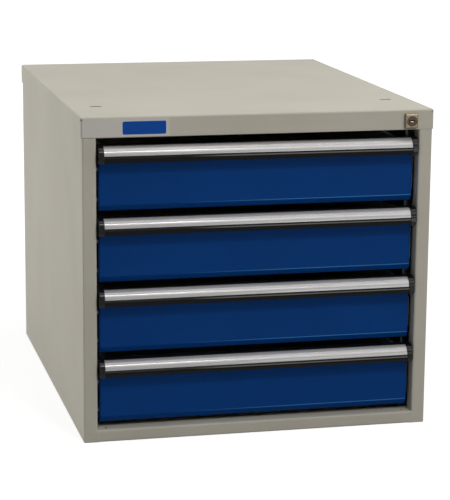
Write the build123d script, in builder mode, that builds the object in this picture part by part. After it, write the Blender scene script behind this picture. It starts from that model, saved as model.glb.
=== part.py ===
from build123d import *
import os
from math import cos, radians, sin

# A lockable steel drawer cabinet. Sizes are in millimetres. X runs to the right, Y to the back and Z up.
# The origin is the middle of the underside. The frame's front is at y = -cover_depth / 2.

# Carcass
cover_width = 500
cover_depth = 620
cover_flange = 28.4
cover_sheet = 1.2
cover_bend = 2.8
cover_gap = 0.3
sheet = 1.5
bend = 2.0
rail_bend = 1.0
stile_width = 19.5
stile_return = 20
stile_seam = 0.3
rear_flange = 15
seat_width = 12
seat_round = 1.4
base_height = 17.6
ledge_depth = 30
ledge_hole_radius = 2.3
ledge_hole_inset = 12
ledge_hole_setback = 11
rear_upstand = 25
slide_in_gap = 0.3
panel_top_gap = 1.5
cut_past = 1

# Hanging slots in the cover
slot_inset = 38
slot_setback = 105
slot_length = 18.4
slot_width = 8

# Reliefs at the cover's corners
relief_width = 3
relief_height = 2

# Drawers
drawer_count = 4
drawer_pitch = 100
drawer_floor_gap = 8
head_room = 3
front_gap = 10
front_recess = 11.3
front_side_gap = 5
front_sheet = 1.2
front_bend = 1.6
front_return = 12
bend_height = 8.2
bend_back = 4
tray_sheet = 1.0
tray_bend = 1.5
tray_floor_gap = 1
tray_top_gap = 6
tray_rear_gap = 35
rim_width = 6

# Grip section, measured forwards from the blue face and down from the front's top edge
hook_sheet = 1.5
hook_reach = 6
nose_reach = 3.3
grip_radius = 14
grip_wall = 2.0
recess_depth = 1.2
ridge_angle = 8
strip_end_angle = 3
back_leg = 2.2
back_leg_drop = 18
lip_setback = 0.9
lip_slope = 2.2
lip_drop = 5
lip_bulge = 0.7
lip_height = 9
lip_undercut = 1.7
label_sheet = 0.5
layer_gap = 0.1
strip_end_gap = 0.3
grip_side_gap = 2
cap_width = 8
cap_proud = 0.8
cap_depth = 24
cap_foot = 6
cap_edge = 1.2

# Runners
runner_space = 13
runner_front_setback = 25
runner_rear_gap = 40
runner_sheet = 1.2
runner_bend = 1.0
runner_lift = 12.5
runner_play = 0.3
lip_reach = 9.2
middle_offset = 1.8
middle_reach = 8.6
drawer_reach = 8.5
post_setback = 50
post_web = 30
post_foot = 12
post_head_gap = 4

# Lock
lock_inset = 34
lock_drop = 16
escutcheon_width = 18
escutcheon_height = 20.5
escutcheon_depth = 7
escutcheon_bevel = 1.6
barrel_radius = 8.5
barrel_length = 17
barrel_fit = 0.05
hole_clearance = 0.2
nut_flats = 20
nut_depth = 4
plug_radius = 7.4
plug_recess = 0.3
plug_tail = 4.5
key_width = 8
key_height = 2.6
key_depth = 3
cam_radius = 10
cam_sheet = 2.5
cam_root = 6
cam_tip = 3
pin_radius = 1.5
pin_play = 0.5
pin_length = 6
cam_start = 225

# Locking bar
bar_sheet = 2
bar_width = 14
bar_side_gap = 2
bar_front_gap = 3
bar_floor_gap = 7.4
finger_sheet = 3
finger_setback = 26
finger_height = 8
finger_drop = 5
finger_reach = 9
tab_height = 10
tab_sheet = 2.5
tab_foot = 16
weld_gap = 0.1
tab_play = 0.5
tab_side_gap = 2.5
runner_finger_gap = 2.5
arm_wall = 2.5
guide_play = 0.3
guide_wall = 2.2
guide_rim = 1.0
guide_lift = 15
guide_foot = 20

# Fasteners
rivet_count = 4
rivet_shank = 1.6
rivet_head = 3
rivet_head_depth = 1.2
rivet_margin = 60
screw_shank = 2.0
screw_head = 4.5
screw_head_depth = 2
screw_drop = 14
shank_fit = 0.05
screw_gap = 0.3

# Places worked out from the sizes above
front_y = -cover_depth / 2
body_half = cover_width / 2 - cover_sheet - cover_gap
wall_in = body_half - sheet
fit_half = wall_in - slide_in_gap
rear_y = cover_depth / 2 - cover_sheet - cover_gap
panel_rear_y = rear_y - sheet
panel_y = panel_rear_y - sheet
opening_half = body_half - stile_width
first_level = base_height + drawer_floor_gap
flange_low = first_level + drawer_count * drawer_pitch + head_room
cabinet_height = flange_low + cover_flange
cover_under = cabinet_height - cover_sheet
seat_under = cover_under - sheet
stile_top = flange_low - stile_seam
rail_rear_y = front_y + cover_sheet + sheet

face_y = front_y + front_recess
front_half = opening_half - front_side_gap
front_height = drawer_pitch - front_gap
front_back_y = face_y + front_return
tray_half = opening_half - runner_space
tray_front_y = face_y + front_sheet
tray_rear_y = panel_y - tray_rear_gap
tray_lift = bend_height + tray_floor_gap
tray_top = front_height - tray_top_gap
tab_top = tray_top - tray_sheet
tab_low = tab_top - tab_height
finger_top = tab_low - finger_drop
finger_low = finger_top - finger_height

runner_top = finger_low - runner_finger_gap
runner_height = runner_top - runner_lift
runner_middle = (runner_top + runner_lift) / 2
runner_front_y = front_y + runner_front_setback
runner_rear_y = panel_y - runner_rear_gap
runner_length = runner_rear_y - runner_front_y
post_ys = (runner_front_y + post_setback, runner_rear_y - post_setback)
post_top = seat_under - post_head_gap

grip_half = opening_half - grip_side_gap
grip_end = grip_half - cap_width
nose_drop = grip_radius - hook_sheet

lock_x = cover_width / 2 - lock_inset
lock_z = cabinet_height - lock_drop
barrel_rear_y = front_y + barrel_length
plug_rear_y = barrel_rear_y + plug_tail
cam_rear_y = plug_rear_y + cam_sheet
pin_x = lock_x + cam_radius * cos(radians(cam_start))
pin_z = lock_z + cam_radius * sin(radians(cam_start))
bar_x = opening_half + bar_side_gap
bar_y = front_y + stile_return + bar_front_gap
finger_y = front_y + finger_setback
bar_low = base_height + bar_floor_gap
slot_half = pin_radius + pin_play
arm_half = slot_half + arm_wall

flange_x = body_half - rear_flange / 2
screw_z = cabinet_height - screw_drop
rivet_step = (flange_low - 2 * rivet_margin) / (rivet_count - 1)
rivet_places = [
    (side * flange_x, rivet_margin + row * rivet_step)
    for side in (-1, 1)
    for row in range(rivet_count)
]
screw_places = [(side * flange_x, screw_z) for side in (-1, 1)]


def level(number):
    return first_level + number * drawer_pitch


def x_plane(x):
    return Plane.YZ.offset(x)


def y_plane(y):
    return Plane.XZ.offset(-y)


def z_plane(z):
    return Plane.XY.offset(z)


def block(xs, ys, zs, mode=Mode.ADD):
    spans = (xs, ys, zs)
    with Locations(tuple((low + high) / 2 for low, high in spans)):
        Box(*(high - low for low, high in spans), mode=mode)


def round_bar(x, z, radius, ys, mode=Mode.ADD):
    with Locations(Location((x, (ys[0] + ys[1]) / 2, z), (90, 0, 0))):
        Cylinder(radius, ys[1] - ys[0], mode=mode)


def write(builder, name):
    builder.part.label = name
    export_step(builder.part, "parts/" + name + ".step")


def make_cover():
    half = cover_width / 2
    with BuildPart() as cover:
        block((-half, half), (front_y, -front_y), (flange_low, cabinet_height))
        fillet(cover.edges() - cover.faces().sort_by(Axis.Z)[0].edges(), radius=cover_bend)
        offset(amount=-cover_sheet, openings=cover.faces().sort_by(Axis.Z)[0])
        # The corners are welded, with a small relief left open at the top of each
        relief_top = cabinet_height - cover_bend
        for side in (-1, 1):
            for end in (-1, 1):
                relief_x = sorted((side * (half - relief_width), side * (half + cut_past)))
                relief_y = sorted((end * (-front_y - relief_width), end * (-front_y + cut_past)))
                block(relief_x, relief_y, (relief_top - relief_height, relief_top), Mode.SUBTRACT)
        with BuildSketch(z_plane(cabinet_height)):
            with Locations(*((side * (half - slot_inset), front_y + slot_setback) for side in (-1, 1))):
                SlotOverall(slot_length, slot_width)
        extrude(amount=-cover_sheet - cut_past, mode=Mode.SUBTRACT)
        front_wall = (front_y - cut_past, front_y + cover_sheet + cut_past)
        round_bar(lock_x, lock_z, barrel_radius + hole_clearance, front_wall, Mode.SUBTRACT)
        for x, z in screw_places:
            round_bar(x, z, screw_shank + hole_clearance, (rear_y, -front_y + cut_past), Mode.SUBTRACT)
    return cover


def make_right_side():
    with BuildPart() as side:
        with BuildSketch(Plane.XY):
            with BuildLine():
                FilletPolyline(
                    (opening_half + sheet / 2, front_y + stile_return),
                    (opening_half + sheet / 2, front_y + sheet / 2),
                    (body_half - sheet / 2, front_y + sheet / 2),
                    (body_half - sheet / 2, rear_y - sheet / 2),
                    (body_half - rear_flange, rear_y - sheet / 2),
                    radius=bend,
                )
            trace(line_width=sheet)
        extrude(amount=cover_under)
        # Behind the cover's front flange the stile is cut away and the wall is set back
        above = (stile_top, cover_under + cut_past)
        stile = (opening_half - cut_past, wall_in)
        block(stile, (front_y - cut_past, front_y + stile_return + cut_past), above, Mode.SUBTRACT)
        corner = (opening_half - cut_past, body_half + cut_past)
        wall_front_y = front_y + cover_sheet + cover_gap + cover_bend
        block(corner, (front_y - cut_past, wall_front_y), above, Mode.SUBTRACT)
        # The flange that the cover sits on
        seat = (body_half - seat_width, wall_in)
        block(seat, (front_y + stile_return, panel_rear_y), (seat_under, cover_under))
        rim = side.faces().sort_by(Axis.Z)[-1].edges().filter_by(lambda edge: edge.length > seat_width)
        outer_rim = rim.filter_by(
            lambda edge: max(edge.center().X - body_half, edge.center().Y - rear_y) > -seat_round
        )
        fillet(outer_rim, radius=seat_round)
        # The bottom edge is rounded from bend to bend, along the outside of the sheet
        foot = side.faces().sort_by(Axis.Z)[0].edges().filter_by(GeomType.CIRCLE)
        fillet(foot.filter_by(lambda edge: edge.radius > bend), radius=seat_round)
        flange = (panel_y, rear_y + cut_past)
        for x, z in rivet_places:
            if x > 0:
                round_bar(x, z, rivet_shank + shank_fit, flange, Mode.SUBTRACT)
        for x, z in screw_places:
            if x > 0:
                round_bar(x, z, screw_shank + shank_fit, flange, Mode.SUBTRACT)
    return side


def make_base_pan():
    ledge_y = front_y + ledge_depth
    with BuildPart() as base:
        with BuildSketch(x_plane(-opening_half)):
            with BuildLine():
                FilletPolyline(
                    (ledge_y - sheet / 2, sheet + slide_in_gap),
                    (ledge_y - sheet / 2, base_height - sheet / 2),
                    (front_y + sheet / 2, base_height - sheet / 2),
                    (front_y + sheet / 2, sheet / 2),
                    (ledge_y, sheet / 2),
                    radius=bend,
                )
            trace(line_width=sheet)
        extrude(amount=2 * opening_half)
        plate_y = front_y + stile_return + cut_past
        block((-fit_half, fit_half), (plate_y, panel_y), (0, sheet))
        block((-fit_half, fit_half), (panel_y - sheet, panel_y), (0, rear_upstand))
        # The plate's ears close the corners inside the stiles
        for side in (-1, 1):
            ear = sorted((side * (opening_half + sheet + slide_in_gap), side * (wall_in - bend)))
            block(ear, (front_y + sheet + slide_in_gap, plate_y), (0, sheet))
        with BuildSketch(z_plane(base_height)):
            hole_x = opening_half - ledge_hole_inset
            with Locations(*((side * hole_x, front_y + ledge_hole_setback) for side in (-1, 1))):
                Circle(ledge_hole_radius)
        extrude(amount=-sheet - cut_past, mode=Mode.SUBTRACT)
    return base


def make_back_panel():
    with BuildPart() as panel:
        panel_half = wall_in - bend
        panel_top = seat_under - panel_top_gap
        block((-panel_half, panel_half), (panel_y, panel_rear_y), (slide_in_gap, panel_top))
        for x, z in rivet_places:
            through = (panel_y - cut_past, panel_rear_y + cut_past)
            round_bar(x, z, rivet_shank + shank_fit, through, Mode.SUBTRACT)
    return panel


def make_top_rail():
    rail_back = front_y + stile_return - bar_front_gap
    rail_low = flange_low + slide_in_gap
    with BuildPart() as rail:
        with BuildSketch(x_plane(-fit_half)):
            with BuildLine():
                FilletPolyline(
                    (rail_back, cover_under - sheet / 2),
                    (rail_rear_y - sheet / 2, cover_under - sheet / 2),
                    (rail_rear_y - sheet / 2, rail_low + sheet / 2),
                    (rail_back, rail_low + sheet / 2),
                    radius=rail_bend,
                )
            trace(line_width=sheet)
        extrude(amount=2 * fit_half)
        web = (front_y, rail_rear_y + cut_past)
        round_bar(lock_x, lock_z, barrel_radius + hole_clearance, web, Mode.SUBTRACT)
    return rail


def make_post(side, y):
    wall_x = side * (wall_in - sheet / 2)
    web_x = side * (opening_half + sheet / 2)
    with BuildPart() as post:
        with BuildSketch(z_plane(sheet)):
            with BuildLine():
                FilletPolyline(
                    (wall_x, y - post_web / 2 - post_foot),
                    (wall_x, y - post_web / 2),
                    (web_x, y - post_web / 2),
                    (web_x, y + post_web / 2),
                    (wall_x, y + post_web / 2),
                    (wall_x, y + post_web / 2 + post_foot),
                    radius=bend,
                )
            trace(line_width=sheet)
        extrude(amount=post_top - sheet)
    return post


def make_runner_pair(number, web_x, reach, half_height):
    # A channel whose web stands at web_x and whose lips reach by reach, towards the middle if negative
    middle = level(number) + runner_middle
    lip = half_height - runner_sheet / 2
    with BuildPart() as pair:
        with BuildSketch(y_plane(runner_rear_y)):
            with BuildLine():
                FilletPolyline(
                    (web_x + reach, middle + lip),
                    (web_x, middle + lip),
                    (web_x, middle - lip),
                    (web_x + reach, middle - lip),
                    radius=runner_bend,
                )
            trace(line_width=runner_sheet)
        extrude(amount=runner_length)
        mirror(about=Plane.YZ)
    return pair


def make_tray(number):
    low = level(number) + tray_lift
    top = level(number) + tray_top
    with BuildPart() as tray:
        block((-tray_half, tray_half), (tray_front_y, tray_rear_y), (low, top))
        fillet(tray.edges().filter_by(Axis.Z), radius=tray_bend)
        offset(amount=-tray_sheet, openings=tray.faces().sort_by(Axis.Z)[-1])
        # The folded rim
        with BuildSketch(z_plane(top)):
            with Locations((0, (tray_front_y + tray_rear_y) / 2)):
                Rectangle(2 * tray_half - tray_sheet, tray_rear_y - tray_front_y - tray_sheet)
                Rectangle(2 * (tray_half - rim_width), tray_rear_y - tray_front_y - 2 * rim_width,
                          mode=Mode.SUBTRACT)
        extrude(amount=-tray_sheet)
        # The angle welded to the wall, which the bar's finger stands in front of when the cabinet is locked
        tab_x = tray_half + weld_gap
        tab_y = finger_y + finger_sheet + tab_play
        tab_z = (level(number) + tab_low, level(number) + tab_top)
        block((tab_x, opening_half - tab_side_gap), (tab_y, tab_y + tab_sheet), tab_z)
        block((tab_x, tab_x + tab_sheet), (tab_y, tab_y + tab_foot), tab_z)
    return tray


def make_front(number):
    low = level(number)
    with BuildPart() as front:
        with BuildSketch(x_plane(-front_half)):
            with BuildLine():
                Polyline(
                    (face_y, low + bend_height),
                    (face_y, low + front_height),
                    (front_back_y, low + front_height),
                    (front_back_y, low),
                    (face_y + bend_back, low),
                    close=True,
                )
            make_face()
        extrude(amount=2 * front_half)
        rear_face = front.faces().sort_by(Axis.Y)[-1]
        fillet(front.edges() - rear_face.edges(), radius=front_bend)
        offset(amount=-front_sheet, openings=front.faces().sort_by(Axis.Y)[-1])
    return front


def grip_point(number, forward, drop):
    # A point of the grip's section: forward of the blue face, and below the front's top edge
    return (face_y - forward, level(number) + front_height - drop)


def make_grip(number):
    nose = grip_point(number, nose_reach, nose_drop)
    recess_radius = grip_radius - recess_depth
    inner_radius = recess_radius - grip_wall
    with BuildPart() as grip:
        with BuildSketch(x_plane(-grip_end)):
            with BuildLine():
                ridge = CenterArc(nose, grip_radius, 90, ridge_angle)
                seat = CenterArc(nose, recess_radius, 90 + ridge_angle, 90 - ridge_angle)
                hollow = CenterArc(nose, inner_radius, 90, 90)
                Line(ridge @ 1, seat @ 0)
                Polyline(
                    seat @ 1,
                    grip_point(number, nose_reach + grip_radius - lip_setback, nose_drop),
                    grip_point(number, nose_reach + grip_radius + lip_bulge, nose_drop + lip_slope),
                    grip_point(number, nose_reach + grip_radius + lip_bulge, nose_drop + lip_drop),
                    grip_point(number, nose_reach + grip_radius - lip_undercut, nose_drop + lip_height),
                    grip_point(number, nose_reach + inner_radius, nose_drop + lip_height - lip_undercut),
                    hollow @ 1,
                )
                Polyline(
                    hollow @ 0,
                    grip_point(number, back_leg, nose_drop - inner_radius),
                    grip_point(number, back_leg, back_leg_drop),
                    grip_point(number, 0, back_leg_drop),
                    grip_point(number, 0, 0),
                    grip_point(number, -hook_reach, 0),
                    grip_point(number, -hook_reach, -hook_sheet),
                    ridge @ 0,
                )
            make_face()
        extrude(amount=2 * grip_end)
    return grip


def make_strip(number, inner_radius):
    # A thin strip bent to the grip's nose: the label, or the clear cover over it
    nose = grip_point(number, nose_reach, nose_drop)
    start = 90 + ridge_angle + strip_end_angle
    sweep = 180 - strip_end_angle - start
    end = grip_end - strip_end_gap
    with BuildPart() as strip:
        with BuildSketch(x_plane(-end)):
            with BuildLine():
                inner = CenterArc(nose, inner_radius, start, sweep)
                outer = CenterArc(nose, inner_radius + label_sheet, start, sweep)
                Line(inner @ 0, outer @ 0)
                Line(inner @ 1, outer @ 1)
            make_face()
        extrude(amount=2 * end)
    return strip


def make_right_cap(number):
    nose = grip_point(number, nose_reach, nose_drop)
    radius = grip_radius + cap_proud
    with BuildPart() as cap:
        with BuildSketch(x_plane(grip_end)):
            with BuildLine():
                crown = CenterArc(nose, radius, 90, 90)
                Polyline(
                    crown @ 1,
                    grip_point(number, nose_reach + radius + lip_bulge, nose_drop + lip_drop),
                    grip_point(number, nose_reach + radius - lip_undercut,
                               nose_drop + lip_height + cap_proud),
                    grip_point(number, cap_foot, cap_depth),
                    grip_point(number, 0, cap_depth),
                    grip_point(number, 0, nose_drop - radius),
                    crown @ 0,
                )
            make_face()
        extrude(amount=cap_width)
        fillet(cap.faces().sort_by(Axis.X)[-1].edges(), radius=cap_edge)
    return cap


def make_lock_housing():
    with BuildPart() as housing:
        block((lock_x - escutcheon_width / 2, lock_x + escutcheon_width / 2),
              (front_y - escutcheon_depth, front_y),
              (lock_z - escutcheon_height / 2, lock_z + escutcheon_height / 2))
        chamfer(housing.faces().sort_by(Axis.Y)[0].edges(), length=escutcheon_bevel)
        round_bar(lock_x, lock_z, barrel_radius, (front_y - escutcheon_depth / 2, barrel_rear_y))
        through = (front_y - escutcheon_depth - cut_past, barrel_rear_y + cut_past)
        round_bar(lock_x, lock_z, plug_radius + barrel_fit, through, Mode.SUBTRACT)
    return housing


def make_lock_nut():
    with BuildPart() as nut:
        with BuildSketch(y_plane(rail_rear_y + nut_depth)):
            with Locations((lock_x, lock_z)):
                RegularPolygon(nut_flats / 2, 6, major_radius=False)
                Circle(barrel_radius + barrel_fit, mode=Mode.SUBTRACT)
        extrude(amount=nut_depth)
    return nut


def make_lock_cylinder():
    plug_face_y = front_y - escutcheon_depth + plug_recess
    with BuildPart() as plug:
        round_bar(lock_x, lock_z, plug_radius, (plug_face_y, plug_rear_y))
        block((lock_x - key_width / 2, lock_x + key_width / 2),
              (plug_face_y - cut_past, plug_face_y + key_depth),
              (lock_z - key_height / 2, lock_z + key_height / 2),
              Mode.SUBTRACT)
    return plug


def make_lock_cam():
    with BuildPart() as cam:
        with BuildSketch(y_plane(cam_rear_y)):
            with Locations((lock_x, lock_z)):
                Circle(cam_root)
            with Locations((pin_x, pin_z)):
                Circle(cam_tip)
            make_hull()
        extrude(amount=cam_sheet)
        round_bar(pin_x, pin_z, pin_radius, (cam_rear_y, cam_rear_y + pin_length))
    return cam


def make_lock_bar():
    fingers_y = (finger_y, finger_y + finger_sheet)
    slot_x = (lock_x - cam_radius - slot_half, pin_x + slot_half)
    arm_x = (slot_x[0] - arm_wall, bar_x)
    with BuildPart() as bar:
        block((bar_x, bar_x + bar_sheet), (bar_y, bar_y + bar_width), (bar_low, pin_z + arm_half))
        for number in range(drawer_count):
            finger_z = (level(number) + finger_low, level(number) + finger_top)
            block((bar_x - finger_reach, bar_x), fingers_y, finger_z)
        # The arm, with the slot that the cam's pin runs in
        block(arm_x, fingers_y, (pin_z - arm_half, pin_z + arm_half))
        through = (fingers_y[0] - cut_past, fingers_y[1] + cut_past)
        block(slot_x, through, (pin_z - slot_half, pin_z + slot_half), Mode.SUBTRACT)
    return bar


def make_bar_guides():
    slot_x = (bar_x - guide_play, bar_x + bar_sheet + guide_play)
    slot_y = (bar_y - guide_play, bar_y + bar_width + guide_play)
    span_y = (slot_y[0] - guide_wall, slot_y[1] + guide_wall)
    with BuildPart() as guides:
        for number in (0, drawer_count - 1):
            low = level(number) + guide_lift
            block((slot_x[0] - guide_rim, wall_in), span_y, (low, low + sheet))
            block((wall_in - sheet, wall_in), span_y, (low, low + guide_foot))
            block(slot_x, slot_y, (low - cut_past, low + sheet + cut_past), Mode.SUBTRACT)
    return guides


def make_cover_screws():
    with BuildPart() as screws:
        for x, z in screw_places:
            round_bar(x, z, screw_shank, (panel_rear_y + screw_gap, -front_y))
            round_bar(x, z, screw_head, (-front_y, -front_y + screw_head_depth))
    return screws


def make_back_rivets():
    with BuildPart() as rivets:
        for x, z in rivet_places:
            round_bar(x, z, rivet_shank, (panel_y, rear_y))
            round_bar(x, z, rivet_head, (rear_y, rear_y + rivet_head_depth))
    return rivets


def mirrored(builder):
    with BuildPart() as other:
        mirror(builder.part, about=Plane.YZ)
    return other


def write_carcass():
    write(make_cover(), "cover")
    right_side = make_right_side()
    write(right_side, "right_side")
    write(mirrored(right_side), "left_side")
    write(make_base_pan(), "base_pan")
    write(make_back_panel(), "back_panel")
    write(make_top_rail(), "top_rail")
    for side, side_name in ((-1, "left"), (1, "right")):
        for y, y_name in zip(post_ys, ("front", "rear")):
            write(make_post(side, y), side_name + "_" + y_name + "_post")
    write(make_cover_screws(), "cover_screws")
    write(make_back_rivets(), "back_rivets")


def write_lock():
    write(make_lock_housing(), "lock_housing")
    write(make_lock_nut(), "lock_nut")
    write(make_lock_cylinder(), "lock_cylinder")
    write(make_lock_cam(), "lock_cam")
    write(make_lock_bar(), "lock_bar")
    write(make_bar_guides(), "bar_guides")


def write_drawer(number):
    mark = "_" + str(number + 1)
    half = runner_height / 2
    fixed_x = opening_half - runner_sheet / 2
    middle_x = fixed_x - middle_offset
    drawer_x = tray_half + runner_sheet / 2
    lip_step = runner_sheet + runner_play
    write(make_runner_pair(number, fixed_x, -lip_reach, half), "fixed_runners" + mark)
    write(make_runner_pair(number, middle_x, -middle_reach, half - lip_step), "middle_runners" + mark)
    write(make_runner_pair(number, drawer_x, drawer_reach, half - 2 * lip_step), "drawer_runners" + mark)
    write(make_tray(number), "drawer_tray" + mark)
    write(make_front(number), "drawer_front" + mark)
    write(make_grip(number), "grip" + mark)
    label_radius = grip_radius - recess_depth + layer_gap
    write(make_strip(number, label_radius), "label_strip" + mark)
    write(make_strip(number, label_radius + label_sheet + layer_gap), "label_cover" + mark)
    right_cap = make_right_cap(number)
    write(right_cap, "grip_cap_right" + mark)
    write(mirrored(right_cap), "grip_cap_left" + mark)


os.makedirs("parts", exist_ok=True)
write_carcass()
write_lock()
for drawer in range(drawer_count):
    write_drawer(drawer)
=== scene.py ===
import bmesh
import bpy
import math
from mathutils import Matrix, Vector


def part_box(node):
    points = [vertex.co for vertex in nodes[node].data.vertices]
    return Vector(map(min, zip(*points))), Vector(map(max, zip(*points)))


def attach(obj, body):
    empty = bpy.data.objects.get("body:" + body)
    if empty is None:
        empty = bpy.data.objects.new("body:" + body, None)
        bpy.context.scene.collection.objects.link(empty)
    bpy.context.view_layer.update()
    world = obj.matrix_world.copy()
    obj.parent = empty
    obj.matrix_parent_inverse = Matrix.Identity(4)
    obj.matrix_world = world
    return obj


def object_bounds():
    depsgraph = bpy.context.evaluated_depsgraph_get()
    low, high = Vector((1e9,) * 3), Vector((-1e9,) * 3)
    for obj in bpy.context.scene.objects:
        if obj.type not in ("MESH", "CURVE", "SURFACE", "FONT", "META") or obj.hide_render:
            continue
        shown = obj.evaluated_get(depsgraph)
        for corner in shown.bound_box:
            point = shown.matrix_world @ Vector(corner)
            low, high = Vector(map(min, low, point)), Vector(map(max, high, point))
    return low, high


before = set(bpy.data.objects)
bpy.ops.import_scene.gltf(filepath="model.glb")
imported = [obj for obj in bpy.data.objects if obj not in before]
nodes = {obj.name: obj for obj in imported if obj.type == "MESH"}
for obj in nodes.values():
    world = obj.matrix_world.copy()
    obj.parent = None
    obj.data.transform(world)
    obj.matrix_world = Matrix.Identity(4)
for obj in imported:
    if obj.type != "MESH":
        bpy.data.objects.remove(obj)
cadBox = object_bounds()
drawers = (1, 2, 3, 4)
print("frame loaded:", len(nodes), "nodes")


# Small helpers

def linearFromHex(text):
    parts = [int(text[i:i + 2], 16) / 255 for i in (1, 3, 5)]
    return [p / 12.92 if p <= 0.04045 else ((p + 0.055) / 1.055) ** 2.4 for p in parts] + [1.0]


def perMetre(sizeMm):
    return 1000 / sizeMm


def addNode(tree, kind, settings=None, links=None):
    node = tree.nodes.new(kind)
    for key, value in (settings or {}).items():
        if isinstance(key, int) or key in node.inputs:
            node.inputs[key].default_value = value
        else:
            setattr(node, key, value)
    for key, source in (links or {}).items():
        tree.links.new(source, node.inputs[key])
    return node


def newFinish(name):
    finish = bpy.data.materials.new(name)
    finish.use_nodes = True
    tree = finish.node_tree
    tree.nodes.clear()
    shader = addNode(tree, "ShaderNodeBsdfPrincipled")
    addNode(tree, "ShaderNodeOutputMaterial", links={"Surface": shader.outputs["BSDF"]})
    place = addNode(tree, "ShaderNodeTexCoord").outputs["Object"]
    return finish, tree, shader, place


def stretch(tree, place, scale, turn=(0, 0, 0)):
    # a scale under 1 draws the pattern out along that axis
    return addNode(tree, "ShaderNodeMapping", {"Rotation": turn, "Scale": scale},
                   {"Vector": place}).outputs["Vector"]


def noise(tree, place, sizeMm, detail, roughness=0.5):
    return addNode(tree, "ShaderNodeTexNoise",
                   {"Scale": perMetre(sizeMm), "Detail": detail, "Roughness": roughness},
                   {"Vector": place}).outputs["Fac"]


def remap(tree, source, fromMin, fromMax, toMin=0.0, toMax=1.0):
    return addNode(tree, "ShaderNodeMapRange",
                   {"From Min": fromMin, "From Max": fromMax, "To Min": toMin, "To Max": toMax},
                   {"Value": source}).outputs["Result"]


def reckon(tree, operation, first, second=None):
    # a plain number is set on its socket, and anything else is linked to it
    settings, links = {"operation": operation}, {}
    for key, value in ((0, first), (1, second)):
        if isinstance(value, float):
            settings[key] = value
        elif value is not None:
            links[key] = value
    return addNode(tree, "ShaderNodeMath", settings, links).outputs[0]


def mixTone(tree, share, under, over):
    # each tone is a hex value or the colour of another node
    settings, links = {"data_type": "RGBA"}, {0: share}
    for key, tone in ((6, under), (7, over)):
        if isinstance(tone, str):
            settings[key] = linearFromHex(tone)
        else:
            links[key] = tone
    return addNode(tree, "ShaderNodeMix", settings, links).outputs[2]


def setTone(tree, shader, colour):
    tree.links.new(colour, shader.inputs["Base Color"])


def setShine(tree, shader, source, rough, spread, span=(0.0, 1.0)):
    # the spread is how far the roughness goes below and above its middle value
    shine = remap(tree, source, *span, rough - spread[0], rough + spread[1])
    tree.links.new(shine, shader.inputs["Roughness"])


edgeSamples = 4


def setRelief(tree, shader, height, strength, depth, edgeRadius=None):
    # the radius rounds the light on sharp edges, in the shading only
    links = {"Height": height}
    if edgeRadius:
        edge = addNode(tree, "ShaderNodeBevel", {"samples": edgeSamples, "Radius": edgeRadius})
        links["Normal"] = edge.outputs["Normal"]
    relief = addNode(tree, "ShaderNodeBump", {"Strength": strength, "Distance": depth}, links)
    tree.links.new(relief.outputs["Normal"], shader.inputs["Normal"])


def wear(node, finish):
    mesh = nodes[node].data
    mesh.materials.clear()
    mesh.materials.append(finish)


# Finishes

drawerPitch = 0.1
glintCore = 0.35


def paintedGlintLine(tree, place, bend, under):
    # a thin level line along a bend, at the same height of each drawer and paler to the right
    # it is drawn in the finish and stands in for a lamp's glint, so it doesn't move with light or view
    parts = addNode(tree, "ShaderNodeSeparateXYZ", links={0: place})
    height = addNode(tree, "ShaderNodeMath", {"operation": "WRAP", 1: drawerPitch, 2: 0.0},
                     {0: parts.outputs["Z"]}).outputs[0]
    away = reckon(tree, "ABSOLUTE", reckon(tree, "SUBTRACT", height, bend["height"]))
    band = remap(tree, away, bend["half"], glintCore * bend["half"])
    rise = remap(tree, parts.outputs["X"], bend["fromX"], bend["toX"])
    return mixTone(tree, reckon(tree, "MULTIPLY", band, rise), under, bend["tint"])


coats = {
    # fine-textured polyester powder on folded steel: dull sheen, a sandy grain with paler specks
    "powderCoatWarmGrey": {"base": "#C6C1B3", "deep": "#BDB7A8", "worn": "#D1CCBF", "rough": 0.55,
                           "grainMm": 1.3, "grainDepth": 0.00007, "specular": 0.2},
    # smooth polyester powder, stoved: soft orange peel and a low, even shine
    "powderCoatGentianBlue": {"base": "#094288", "deep": "#073C7E", "worn": "#114E97", "rough": 0.3,
                              "grainMm": 2.6, "grainDepth": 0.00004, "specular": 0.05,
                              # the bend entry is a painted highlight: a paler line along each front's lower
                              # bend, standing in for a lamp's glint
                              "bend": {"tint": "#3F86CF", "height": 0.0338, "half": 0.0009,
                                       "fromX": -0.12, "toX": 0.05}},
    # the same grey powder inside the drawers, cleaner and a little smoother
    "powderCoatTrayGrey": {"base": "#C6C3BB", "deep": "#B9B5AB", "worn": "#D2CFC8", "rough": 0.45,
                           "grainMm": 1.6, "grainDepth": 0.00005, "specular": 0.4},
}
# cloud, speck and rub: where in the noise each begins and is full, then the least and most it shows
coatPattern = {"cloudMm": 140, "cloud": (0.35, 0.7, 0.0, 0.55), "speck": (0.52, 0.78, 0.0, 0.3),
               "rubMm": 26, "rubStretch": (1, 14, 14), "rubTurn": (0.3, 0.2, 0.5),
               "rub": (0.74, 0.82, 0.0, 0.35), "spread": (0.05, 0.06), "shineSpan": (0.3, 0.7),
               "relief": 0.6, "edge": 0.0005}


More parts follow.
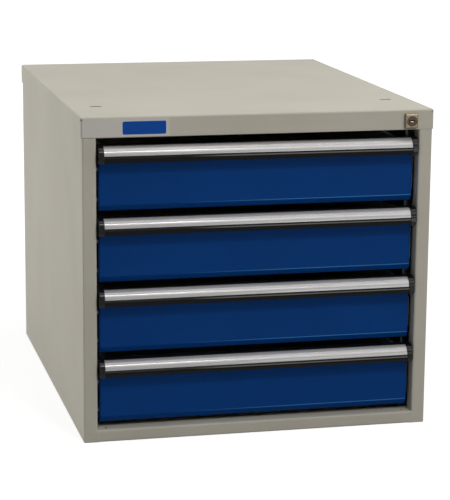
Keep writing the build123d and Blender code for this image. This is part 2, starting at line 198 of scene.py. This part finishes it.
def makeCoat(name):
    look = coats[name]
    finish, tree, shader, place = newFinish(name)
    grain = noise(tree, place, look["grainMm"], detail=3.0, roughness=0.6)
    # faint clouding of the sprayed coat, a hand's width across
    cloud = noise(tree, place, coatPattern["cloudMm"], detail=2.0)
    colour = mixTone(tree, remap(tree, cloud, *coatPattern["cloud"]), look["base"], look["deep"])
    # specks of the grain, drawn as light as the real texture reads at arm's length
    colour = mixTone(tree, remap(tree, grain, *coatPattern["speck"]), colour, look["worn"])
    # short rub marks, about 25 mm long and 2 mm wide
    turned = stretch(tree, place, coatPattern["rubStretch"], coatPattern["rubTurn"])
    rubs = noise(tree, turned, coatPattern["rubMm"], detail=1.0)
    colour = mixTone(tree, remap(tree, rubs, *coatPattern["rub"]), colour, look["worn"])
    # a painted highlight: a paler line along the bend, standing in for a lamp's glint
    if "bend" in look:
        colour = paintedGlintLine(tree, place, look["bend"], colour)
    setTone(tree, shader, colour)
    setShine(tree, shader, grain, look["rough"], coatPattern["spread"], coatPattern["shineSpan"])
    shader.inputs["Specular IOR Level"].default_value = look["specular"]
    # folded sheet edges are never sharp: the paint rounds them by about half a millimetre
    setRelief(tree, shader, grain, coatPattern["relief"], look["grainDepth"], coatPattern["edge"])
    return finish


zinc = {"bright": "#B0B4B7", "dull": "#8C9194", "spangleMm": 5, "spangleShare": 0.35, "streakMm": 1.2,
        "stretch": (1, 0.02, 1), "rough": 0.33, "spread": (0.07, 0.12), "relief": 0.25, "depth": 0.00003}


def makeZincPlate():
    # zinc-plated mild steel, rolled then plated: cool grey, faint spangle, drawn along the piece
    finish, tree, shader, place = newFinish("zincPlatedSteelRolled")
    spangle = addNode(tree, "ShaderNodeTexVoronoi", {"Scale": perMetre(zinc["spangleMm"])}, {"Vector": place})
    streaks = noise(tree, stretch(tree, place, zinc["stretch"]), zinc["streakMm"], detail=2.0)
    share = addNode(tree, "ShaderNodeMix", {"data_type": "FLOAT", 0: zinc["spangleShare"]},
                    {2: streaks, 3: spangle.outputs["Distance"]}).outputs[0]
    setTone(tree, shader, mixTone(tree, share, zinc["dull"], zinc["bright"]))
    setShine(tree, shader, streaks, zinc["rough"], zinc["spread"])
    shader.inputs["Metallic"].default_value = 1.0
    setRelief(tree, shader, streaks, zinc["relief"], zinc["depth"])
    return finish


plastics = {
    # extruded PVC, drawn through a die: long faint lines along the grip
    "extrudedPvcBlack": {"base": "#090A0A", "light": "#0F1010", "rough": 0.28, "lineMm": 0.9,
                         "stretch": (0.01, 1, 1), "depth": 0.00003, "specular": 0.07,
                         # the bend entry is a painted highlight: a pale line along the lip's ridge, standing
                         # in for a lamp's glint
                         "bend": {"tint": "#70716C", "height": 0.0009, "half": 0.001,
                                  "fromX": -0.1, "toX": -0.05}},
    # moulded ABS, polished mould: glossy with a very slight sink and handling haze
    "mouldedAbsBlack": {"base": "#09090C", "light": "#0F0F13", "rough": 0.12, "lineMm": 4,
                        "stretch": (1, 1, 1), "depth": 0.00004, "specular": 0.16},
}
plasticPattern = {"hazeMm": 18, "spread": (0.05, 0.1), "ior": 1.53, "relief": 0.5, "edge": 0.0006}


def makePlastic(name):
    look = plastics[name]
    finish, tree, shader, place = newFinish(name)
    lines = noise(tree, stretch(tree, place, look["stretch"]), look["lineMm"], detail=2.0)
    haze = noise(tree, place, plasticPattern["hazeMm"], detail=3.0)
    colour = mixTone(tree, haze, look["base"], look["light"])
    # a painted highlight: a paler line along the bend, standing in for a lamp's glint
    if "bend" in look:
        colour = paintedGlintLine(tree, place, look["bend"], colour)
    setTone(tree, shader, colour)
    setShine(tree, shader, haze, look["rough"], plasticPattern["spread"])
    shader.inputs["IOR"].default_value = plasticPattern["ior"]
    shader.inputs["Specular IOR Level"].default_value = look["specular"]
    setRelief(tree, shader, lines, plasticPattern["relief"], look["depth"], plasticPattern["edge"])
    return finish


film = {"silver": "#B2B0AF", "shade": "#AFACAB", "rough": 0.38, "spread": (0.05, 0.08), "lineMm": 1.1,
        "stretch": (0.012, 1, 1), "metal": 0.1, "gloss": 1.0, "glossIor": 1.58, "glossRough": 0.14,
        "relief": 0.1, "depth": 0.00001}


def makeSilverFilm():
    # silver polyester film laid into the grip, brushed along its length, seen through the clear strip
    finish, tree, shader, place = newFinish("silverFilmBrushed")
    brushed = noise(tree, stretch(tree, place, film["stretch"]), film["lineMm"], detail=2.0)
    setTone(tree, shader, mixTone(tree, brushed, film["shade"], film["silver"]))
    setShine(tree, shader, brushed, film["rough"], film["spread"])
    shader.inputs["Metallic"].default_value = film["metal"]
    # one coat stands in for the shine of the clear strip's two faces and of the film itself
    shader.inputs["Coat Weight"].default_value = film["gloss"]
    shader.inputs["Coat Roughness"].default_value = film["glossRough"]
    shader.inputs["Coat IOR"].default_value = film["glossIor"]
    setRelief(tree, shader, brushed, film["relief"], film["depth"])
    return finish


# its tone is the film's, so that the little of it that shows leaves the silver even
clear = {"tone": "#B0AEAD", "alpha": 0.03, "ior": 1.58, "lineMm": 0.8, "stretch": (0.02, 1, 1),
         "rough": 0.06, "spread": (0.0, 0.1)}


def makeClearStrip():
    # clear extruded polycarbonate: all but unseen, with a few hairlines
    finish, tree, shader, place = newFinish("clearPolycarbonateExtruded")
    hairlines = noise(tree, stretch(tree, place, clear["stretch"]), clear["lineMm"], detail=2.0)
    setShine(tree, shader, hairlines, clear["rough"], clear["spread"])
    shader.inputs["Base Color"].default_value = linearFromHex(clear["tone"])
    shader.inputs["IOR"].default_value = clear["ior"]
    shader.inputs["Alpha"].default_value = clear["alpha"]
    return finish


plating = {
    # satin nickel over a zinc casting: warm grey, slightly cloudy
    "nickelPlateSatin": {"base": "#8C7F6B", "dark": "#62584A", "rough": 0.2},
    # the turned brass plug under dull nickel, darkened by keys
    "turnedPlugDull": {"base": "#50463A", "dark": "#332B23", "rough": 0.3},
    # a brighter copy of the same plate: a painted highlight standing in for a glint
    "nickelPlatePaintedGlint": {"base": "#D8D0C4", "dark": "#C0B7A8", "rough": 0.22},
    # painted shade: black standing in for the shade down in the keyway
    "keywayPaintedShade": {"base": "#16130F", "dark": "#0C0A08", "rough": 0.55},
}
platePattern = {"cloudMm": 3, "spread": (0.06, 0.12), "relief": 0.3, "depth": 0.00003, "edge": 0.0003}


def makePlating(name):
    look = plating[name]
    finish, tree, shader, place = newFinish(name)
    cloud = noise(tree, place, platePattern["cloudMm"], detail=4.0)
    setTone(tree, shader, mixTone(tree, cloud, look["base"], look["dark"]))
    setShine(tree, shader, cloud, look["rough"], platePattern["spread"])
    shader.inputs["Metallic"].default_value = 1.0
    setRelief(tree, shader, cloud, platePattern["relief"], platePattern["depth"], platePattern["edge"])
    return finish


# printed vinyl: even ink and fine dust, satin, the blue ink less shiny than the bare film
vinyls = {
    "printedVinylPale": {"base": "#D2CDC6", "shade": "#C9C4BC", "specular": 0.35},
    "printedVinylOutline": {"base": "#D9DADB", "shade": "#CFD1D4", "specular": 0.3},
    "printedVinylBlue": {"base": "#0B4FA9", "shade": "#0A499E", "specular": 0.1},
}
vinylPattern = {"dustMm": 2.2, "rough": 0.3, "spread": (0.05, 0.08), "relief": 0.2, "depth": 0.00003}


def makeVinyl(name):
    look = vinyls[name]
    finish, tree, shader, place = newFinish(name)
    dust = noise(tree, place, vinylPattern["dustMm"], detail=4.0)
    setTone(tree, shader, mixTone(tree, dust, look["base"], look["shade"]))
    setShine(tree, shader, dust, vinylPattern["rough"], vinylPattern["spread"])
    shader.inputs["Specular IOR Level"].default_value = look["specular"]
    setRelief(tree, shader, dust, vinylPattern["relief"], vinylPattern["depth"])
    return finish


carcassCoat = makeCoat("powderCoatWarmGrey")
frontCoat = makeCoat("powderCoatGentianBlue")
trayCoat = makeCoat("powderCoatTrayGrey")
zincPlate = makeZincPlate()
gripPvc = makePlastic("extrudedPvcBlack")
capAbs = makePlastic("mouldedAbsBlack")
labelFilm = makeSilverFilm()
clearStrip = makeClearStrip()
nickel = makePlating("nickelPlateSatin")
plugMetal = makePlating("turnedPlugDull")
keywayShadeFinish = makePlating("keywayPaintedShade")
nickelGlintFinish = makePlating("nickelPlatePaintedGlint")
stickerPale = makeVinyl("printedVinylPale")
stickerEdge = makeVinyl("printedVinylOutline")
stickerBlue = makeVinyl("printedVinylBlue")
print("finishes made")

for node in ("cover", "left_side", "right_side", "base_pan", "back_panel", "top_rail"):
    wear(node, carcassCoat)
for node in ("left_front_post", "left_rear_post", "right_front_post", "right_rear_post", "bar_guides",
             "lock_nut", "cover_screws", "back_rivets", "lock_cam", "lock_bar"):
    wear(node, zincPlate)
wear("lock_housing", nickel)
wear("lock_cylinder", plugMetal)
for drawer in drawers:
    for kind in ("fixed_runners", "middle_runners", "drawer_runners"):
        wear(f"{kind}_{drawer}", zincPlate)
    wear(f"drawer_tray_{drawer}", trayCoat)
    wear(f"drawer_front_{drawer}", frontCoat)
    wear(f"grip_{drawer}", gripPvc)
    wear(f"grip_cap_left_{drawer}", capAbs)
    wear(f"grip_cap_right_{drawer}", capAbs)
    wear(f"label_strip_{drawer}", labelFilm)
    wear(f"label_cover_{drawer}", clearStrip)
print("nodes dressed")


# Small flat pieces with rounded corners: the sticker on the cover's front flange, left blank, and the keyway

def makePrism(name, ring, push):
    # a closed piece: a flat ring of points pushed out by one step
    mesh = bpy.data.meshes.new(name)
    shape = bmesh.new()
    face = shape.faces.new([shape.verts.new(point) for point in ring])
    grown = bmesh.ops.extrude_face_region(shape, geom=[face])
    moved = [item for item in grown["geom"] if isinstance(item, bmesh.types.BMVert)]
    bmesh.ops.translate(shape, verts=moved, vec=push)
    bmesh.ops.recalc_face_normals(shape, faces=shape.faces)
    shape.to_mesh(mesh)
    shape.free()
    piece = bpy.data.objects.new(name, mesh)
    bpy.context.scene.collection.objects.link(piece)
    return piece


cornerSteps = 6


def makePatch(name, left, right, low, high, back, thick, corner, finish, body="cabinet"):
    ring = []
    for cx, cz, start in ((right - corner, high - corner, 0), (left + corner, high - corner, 90),
                          (left + corner, low + corner, 180), (right - corner, low + corner, 270)):
        for step in range(cornerSteps + 1):
            angle = math.radians(start + 90 * step / cornerSteps)
            ring.append((cx + corner * math.cos(angle), back, cz + corner * math.sin(angle)))
    patch = makePrism(name, ring, (0, -thick, 0))
    patch.data.materials.append(finish)
    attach(patch, body)


sticker = {"left": -0.2478, "right": -0.1278, "low": 0.4296, "high": 0.4546, "thick": 0.00012,
           "corner": 0.0012, "panelLeft": -0.1928, "panelRight": -0.1325, "panelLow": 0.4323,
           "panelHigh": 0.4503, "panelCorner": 0.0022, "outline": 0.0007}
flangeFace = -0.310

makePatch("flange_sticker", sticker["left"], sticker["right"], sticker["low"], sticker["high"], flangeFace,
          sticker["thick"], sticker["corner"], stickerPale)
makePatch("flange_sticker_outline", sticker["panelLeft"] - sticker["outline"],
          sticker["panelRight"] + sticker["outline"], sticker["panelLow"] - sticker["outline"],
          sticker["panelHigh"] + sticker["outline"], flangeFace - sticker["thick"], sticker["thick"],
          sticker["panelCorner"] + sticker["outline"], stickerEdge)
makePatch("flange_sticker_panel", sticker["panelLeft"], sticker["panelRight"], sticker["panelLow"],
          sticker["panelHigh"], flangeFace - 2 * sticker["thick"], sticker["thick"],
          sticker["panelCorner"], stickerBlue)
print("sticker made")


# a dark sheet down in the keyway, painted shade where there is only the keyway's shade, and the front of a
# tumbler on its lower half, made bright as a painted highlight for its glint
keyway = {"halfWidth": 0.0038, "halfHeight": 0.00115, "recess": 0.0008, "bottom": 0.00295,
          "corner": 0.0009, "tumblerHalf": 0.0023, "tumblerLift": 0.0001, "tumblerTop": -0.0002,
          "tumblerProud": 0.0005, "tumblerCorner": 0.0004}


def makeKeyway():
    low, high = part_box("lock_cylinder")
    midX, midZ, face = (low[0] + high[0]) / 2, (low[2] + high[2]) / 2, low[1]
    makePatch("keyway_painted_shade", midX - keyway["halfWidth"], midX + keyway["halfWidth"],
              midZ - keyway["halfHeight"], midZ + keyway["halfHeight"], face + keyway["bottom"],
              keyway["bottom"] - keyway["recess"], keyway["corner"], keywayShadeFinish, "lock")
    makePatch("keyway_tumbler", midX - keyway["tumblerHalf"], midX + keyway["tumblerHalf"],
              midZ - keyway["halfHeight"] + keyway["tumblerLift"], midZ + keyway["tumblerTop"],
              face + keyway["recess"], keyway["tumblerProud"], keyway["tumblerCorner"], nickelGlintFinish,
              "lock")


makeKeyway()
print("keyway made")


# Ground weld between each stile and the base's front, all but flush with both

weld = {"inner": 0.2265, "outer": 0.2322, "proud": 0.00004, "bend": 0.00275, "depth": 0.0012,
        "low": 0.0003, "top": 0.0176, "steps": 8, "sharpDegrees": 35}


def makeWeld(name, side):
    front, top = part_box("base_pan")[0][1], weld["top"]
    profile = [(front + weld["depth"], weld["low"]), (front - weld["proud"], weld["low"])]
    radius = weld["bend"] + weld["proud"]
    for step in range(weld["steps"] + 1):
        angle = math.radians(180 - 90 * step / weld["steps"])
        profile.append((front + weld["bend"] + radius * math.cos(angle),
                        top - weld["bend"] + radius * math.sin(angle)))
    profile.append((front + weld["bend"], top - weld["depth"]))
    profile.append((front + weld["depth"], top - weld["bend"]))
    bead = makePrism(name, [(side * weld["inner"], y, z) for y, z in profile],
                     (side * (weld["outer"] - weld["inner"]), 0, 0))
    bead.data.shade_smooth()
    bead.data.set_sharp_from_angle(angle=math.radians(weld["sharpDegrees"]))
    bead.data.materials.append(carcassCoat)
    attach(bead, "cabinet")


makeWeld("base_weld_left", -1)
makeWeld("base_weld_right", 1)
print("welds made")


# Stage, light and camera

studio = {"paper": "#AEAEAC", "paperRough": 0.9, "glow": 0.8, "farGlow": 1.0, "glowFrom": 0.7,
          "glowTo": 1.8, "ambient": 0.16, "ambientTint": "#FFFFFF", "floorSize": 60.0}


def whiteToEye(tree):
    # 1 for what the camera sees, also in gloss and through glass, and 0 for light that falls on the object
    rays = addNode(tree, "ShaderNodeLightPath").outputs
    seen = reckon(tree, "MAXIMUM", rays["Is Camera Ray"], rays["Is Glossy Ray"])
    return reckon(tree, "MAXIMUM", seen, rays["Is Transmission Ray"])


def makeStage():
    mesh = bpy.data.meshes.new("studio_floor")
    half = studio["floorSize"] / 2
    corners = [(-half, -half, 0), (half, -half, 0), (half, half, 0), (-half, half, 0)]
    mesh.from_pydata(corners, [], [(0, 1, 2, 3)])
    floor = bpy.data.objects.new("studio_floor", mesh)
    bpy.context.scene.collection.objects.link(floor)
    floor.location.z = cadBox[0].z
    paper, tree, shader, place = newFinish("studioPaper")
    shader.inputs["Base Color"].default_value = linearFromHex(studio["paper"])
    shader.inputs["Roughness"].default_value = studio["paperRough"]
    shader.inputs["Specular IOR Level"].default_value = 0.0
    shader.inputs["Emission Color"].default_value = (1, 1, 1, 1)
    # the paper near the object keeps its shadow, and turns plain white further out
    away = addNode(tree, "ShaderNodeVectorMath", {"operation": "LENGTH"}, {0: place}).outputs["Value"]
    reach = remap(tree, away, studio["glowFrom"], studio["glowTo"], studio["glow"], studio["farGlow"])
    tree.links.new(reckon(tree, "MULTIPLY", whiteToEye(tree), reach), shader.inputs["Emission Strength"])
    mesh.materials.append(paper)


def makeWorld():
    world = bpy.data.worlds.new("studioWorld")
    bpy.context.scene.world = world
    world.use_nodes = True
    tree = world.node_tree
    tree.nodes.clear()
    strength = remap(tree, whiteToEye(tree), 0.0, 1.0, studio["ambient"], 1.0)
    air = addNode(tree, "ShaderNodeBackground", {"Color": linearFromHex(studio["ambientTint"])},
                  {"Strength": strength})
    addNode(tree, "ShaderNodeOutputWorld", links={"Surface": air.outputs["Background"]})


lamps = {
    # a wide soft box over the top
    "overhead": {"place": (0.5, -0.25, 2.5), "aim": (0.35, -0.2, 0.4), "size": (2.0, 1.6), "power": 23},
    # the main light on the fronts
    "frontPanel": {"place": (0.98, -2.25, 2.15), "aim": (0, -0.3, 0.25), "size": (1.3, 0.9), "power": 13.4},
    # a narrow lamp whose shine draws the crisp line on the left of the strips
    "frontStrip": {"place": (0.32, -2.1, 2.35), "aim": (0.1, -0.3, 0.3), "size": (0.44, 0.16), "power": 10},
    # a low fill under the grips
    "frontLow": {"place": (1.1, -2.9, 0.6), "aim": (0, -0.3, 0.2), "size": (1.0, 0.5), "power": 5.5},
    # the light on the left side
    "leftRear": {"place": (-2.3, 0.75, 0.95), "aim": (-0.25, 0, 0.2), "size": (1.7, 1.7), "power": 24},
}


def makeLamps():
    for name, lamp in lamps.items():
        light = bpy.data.lights.new(name, "AREA")
        light.shape = "RECTANGLE"
        light.size, light.size_y = lamp["size"]
        light.energy = lamp["power"]
        holder = bpy.data.objects.new(name, light)
        bpy.context.scene.collection.objects.link(holder)
        holder.location = lamp["place"]
        aim = Vector(lamp["aim"]) - holder.location
        holder.rotation_euler = aim.to_track_quat("-Z", "Y").to_euler()


# angles in degrees, lens and sensor in mm
cameraSet = {"place": (-0.65451, -2.87875, 0.83245), "heading": -13.2582, "tilt": 12.0919,
             "roll": 0.4506, "lens": 140.21, "sensor": 36, "clipStart": 0.05}


def makeCamera():
    lens = bpy.data.cameras.new("photoCamera")
    lens.lens = cameraSet["lens"]
    lens.sensor_width = cameraSet["sensor"]
    lens.clip_start = cameraSet["clipStart"]
    holder = bpy.data.objects.new("photoCamera", lens)
    bpy.context.scene.collection.objects.link(holder)
    turn = Matrix.Rotation(math.radians(cameraSet["heading"]), 4, "Z")
    tip = Matrix.Rotation(math.radians(90 - cameraSet["tilt"]), 4, "X")
    roll = Matrix.Rotation(math.radians(cameraSet["roll"]), 4, "Z")
    holder.matrix_world = Matrix.Translation(cameraSet["place"]) @ turn @ tip @ roll
    bpy.context.scene.camera = holder


makeStage()
makeWorld()
makeLamps()
makeCamera()
bpy.context.scene.view_settings.view_transform = "Standard"
print("stage, lamps and camera set")
